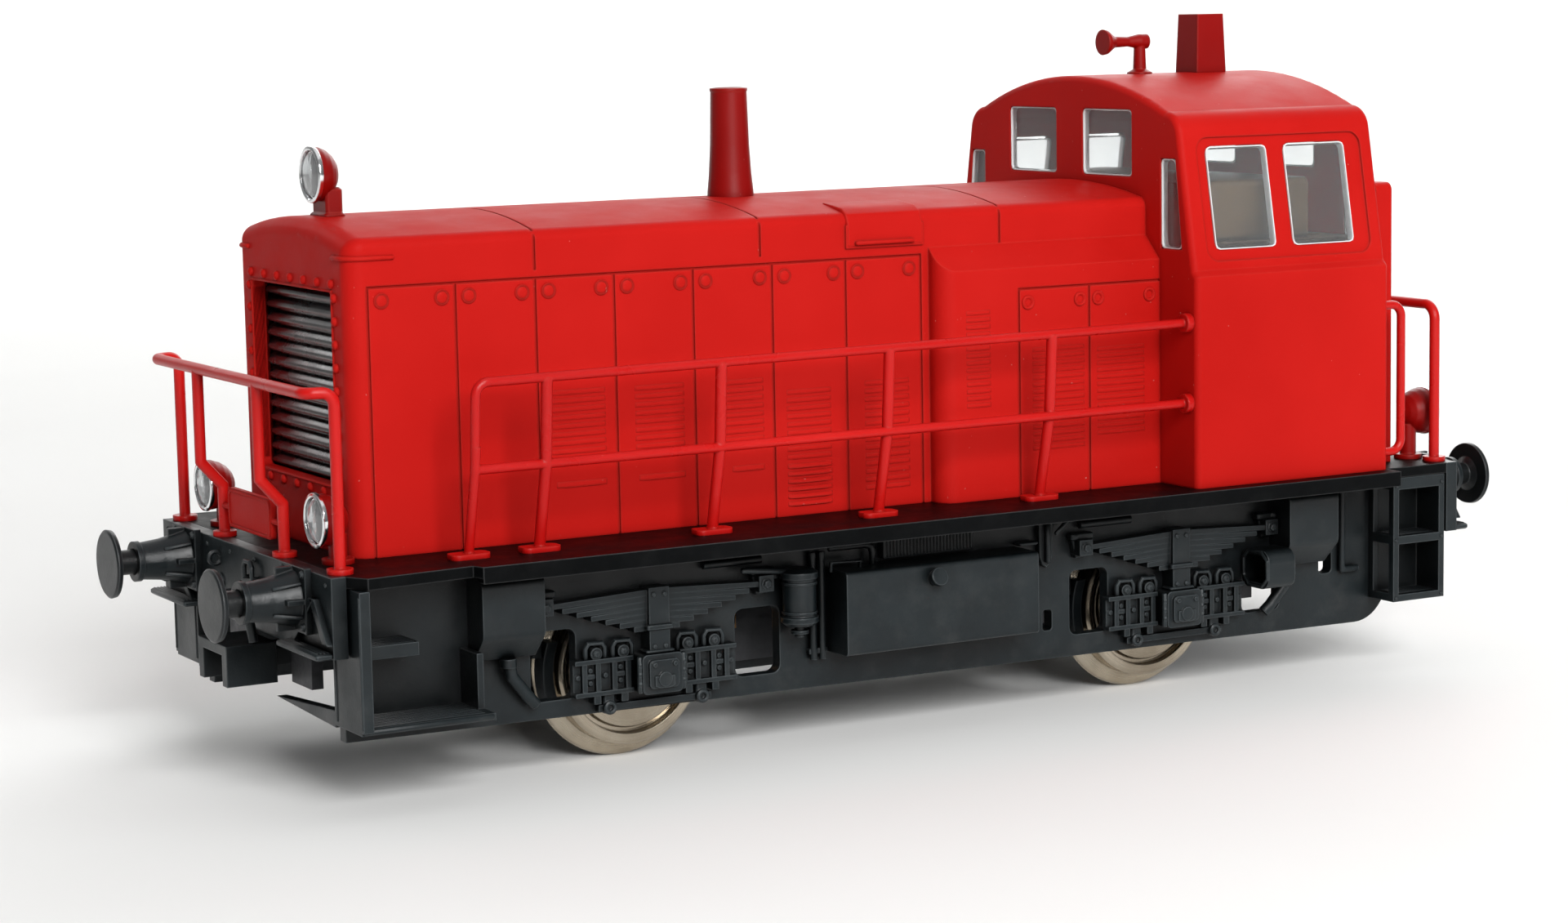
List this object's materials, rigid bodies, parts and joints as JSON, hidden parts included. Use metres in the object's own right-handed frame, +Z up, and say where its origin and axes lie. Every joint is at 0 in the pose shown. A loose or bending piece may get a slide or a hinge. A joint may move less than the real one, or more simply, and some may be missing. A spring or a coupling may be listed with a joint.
{
  "type": "model diesel locomotive",
  "caption": "Scale model of a diesel shunting locomotive with a long hood, a rear cab, railed side walkways, sprung buffers and a geared motor drive.",
  "frame": {"origin": "under the middle of the locomotive, at the level of the lowest point of the wheel flanges, 1.0 mm below the rail top", "axes": "+X along the track towards the radiator end, +Y to the locomotive's left, +Z up"},
  "size_m": [0.102, 0.0344, 0.049],
  "materials": {
    "shell_red": "satin bright red",
    "fitting_red": "satin deep red",
    "rail_red": "satin deep red wire",
    "frame_black": "matt blue-black moulding",
    "keeper_plastic": "matt black moulding",
    "coupler_black": "matt black moulding",
    "grille_black": "satin black louvres",
    "plate_red": "satin, blank",
    "cast_frame": "darkened die casting",
    "plain_steel": "turned",
    "motor_steel": "plated, pressed",
    "wheel_nickel": "darkened nickel",
    "buffer_metal": "blackened, satin",
    "turned_brass": "turned",
    "bearing_bronze": "sintered bronze",
    "contact_bronze": "thin spring strip",
    "gear_plastic": "natural moulded gears",
    "board_green": "lacquered board",
    "clear_glazing": "clear",
    "lamp_lens": "clear, domed",
    "interior_tan": "matt tan"
  },
  "bodies": {
    "chassis": {"chassis_block": "cast_frame", "keeper_plate": "keeper_plastic", "keeper_screws": "plain_steel", "axle_bushes": "bearing_bronze", "idler_pins": "plain_steel", "worm_bearings": "bearing_bronze", "motor_housing": "motor_steel", "motor_clamp": "motor_steel", "pickup_wipers": "contact_bronze", "circuit_board": "board_green", "brake_shoes": "frame_black", "side_frames": "frame_black", "leaf_springs": "frame_black", "axle_boxes": "frame_black", "axle_box_guides": "frame_black", "sandboxes": "frame_black", "sand_pipes": "frame_black", "fuel_tanks": "frame_black", "brake_cylinders": "frame_black", "air_pipes": "frame_black", "running_board": "frame_black", "buffer_beams": "frame_black", "buffer_housings": "frame_black", "front_step_boxes": "frame_black", "rear_steps": "frame_black", "coupling_hooks": "frame_black", "coupler_pivots": "plain_steel", "cab_shell": "shell_red", "cab_windows": "clear_glazing", "cab_interior": "interior_tan", "hood_shell": "shell_red", "radiator_grille": "grille_black", "exhaust_stack": "fitting_red", "top_headlamp": "fitting_red", "top_headlamp_lens": "lamp_lens", "lower_lamps": "fitting_red", "lower_lamp_lenses": "lamp_lens", "horn": "fitting_red", "roof_vent": "fitting_red", "side_handrails": "rail_red", "front_handrail": "rail_red", "rear_handrails": "rail_red", "number_plates": "plate_red"},
    "motor_rotor": {"motor_shaft": "plain_steel", "flywheels": "turned_brass", "worms": "turned_brass"},
    "idler_front": {"front_idler_gear": "gear_plastic"},
    "wheelset_front": {"front_wheels": "wheel_nickel", "front_axle": "plain_steel", "front_axle_gear": "gear_plastic"},
    "idler_rear": {"rear_idler_gear": "gear_plastic"},
    "wheelset_rear": {"rear_wheels": "wheel_nickel", "rear_axle": "plain_steel", "rear_axle_gear": "gear_plastic"},
    "front_coupler": {"front_coupler_pocket": "coupler_black"},
    "buffer_front_left": {"front_left_buffer": "buffer_metal"},
    "buffer_front_right": {"front_right_buffer": "buffer_metal"},
    "rear_coupler": {"rear_coupler_pocket": "coupler_black"},
    "buffer_rear_left": {"rear_left_buffer": "buffer_metal"},
    "buffer_rear_right": {"rear_right_buffer": "buffer_metal"}
  },
  "joints": [
    {"name": "motor_spin", "type": "hinge", "parent": "chassis", "child": "motor_rotor", "pos_m": [0.0002, 0, 0.01935], "axis": [1, 0, 0], "continuous": true},
    {"name": "idler_front_spin", "type": "hinge", "parent": "chassis", "child": "idler_front", "pos_m": [0.02137, 0, 0.0133], "axis": [0, 1, 0], "continuous": true},
    {"name": "wheelset_front_spin", "type": "hinge", "parent": "chassis", "child": "wheelset_front", "pos_m": [0.02137, 0, 0.00645], "axis": [0, 1, 0], "continuous": true},
    {"name": "idler_rear_spin", "type": "hinge", "parent": "chassis", "child": "idler_rear", "pos_m": [-0.02096, 0, 0.0133], "axis": [0, 1, 0], "continuous": true},
    {"name": "wheelset_rear_spin", "type": "hinge", "parent": "chassis", "child": "wheelset_rear", "pos_m": [-0.02096, 0, 0.00645], "axis": [0, 1, 0], "continuous": true},
    {"name": "front_coupler_swing", "type": "hinge", "parent": "chassis", "child": "front_coupler", "pos_m": [0.037, 0, 0.0082], "axis": [0, 0, 1], "range_deg": [-8, 8], "stiffness_Nm_per_rad": 0.002},
    {"name": "buffer_front_left_press", "type": "slide", "parent": "chassis", "child": "buffer_front_left", "axis": [-1, 0, 0], "range_m": [0, 0.0008], "stiffness_N_per_m": 60},
    {"name": "buffer_front_right_press", "type": "slide", "parent": "chassis", "child": "buffer_front_right", "axis": [-1, 0, 0], "range_m": [0, 0.0008], "stiffness_N_per_m": 60},
    {"name": "rear_coupler_swing", "type": "hinge", "parent": "chassis", "child": "rear_coupler", "pos_m": [-0.037, 0, 0.0082], "axis": [0, 0, 1], "range_deg": [-8, 8], "stiffness_Nm_per_rad": 0.002},
    {"name": "buffer_rear_left_press", "type": "slide", "parent": "chassis", "child": "buffer_rear_left", "axis": [1, 0, 0], "range_m": [0, 0.0008], "stiffness_N_per_m": 60},
    {"name": "buffer_rear_right_press", "type": "slide", "parent": "chassis", "child": "buffer_rear_right", "axis": [1, 0, 0], "range_m": [0, 0.0008], "stiffness_N_per_m": 60}
  ],
  "couplings": [
    {"joint": "idler_front_spin", "follows": "motor_spin", "ratio": -0.05},
    {"joint": "wheelset_front_spin", "follows": "motor_spin", "ratio": 0.071429},
    {"joint": "idler_rear_spin", "follows": "motor_spin", "ratio": -0.05},
    {"joint": "wheelset_rear_spin", "follows": "motor_spin", "ratio": 0.071429}
  ]
}
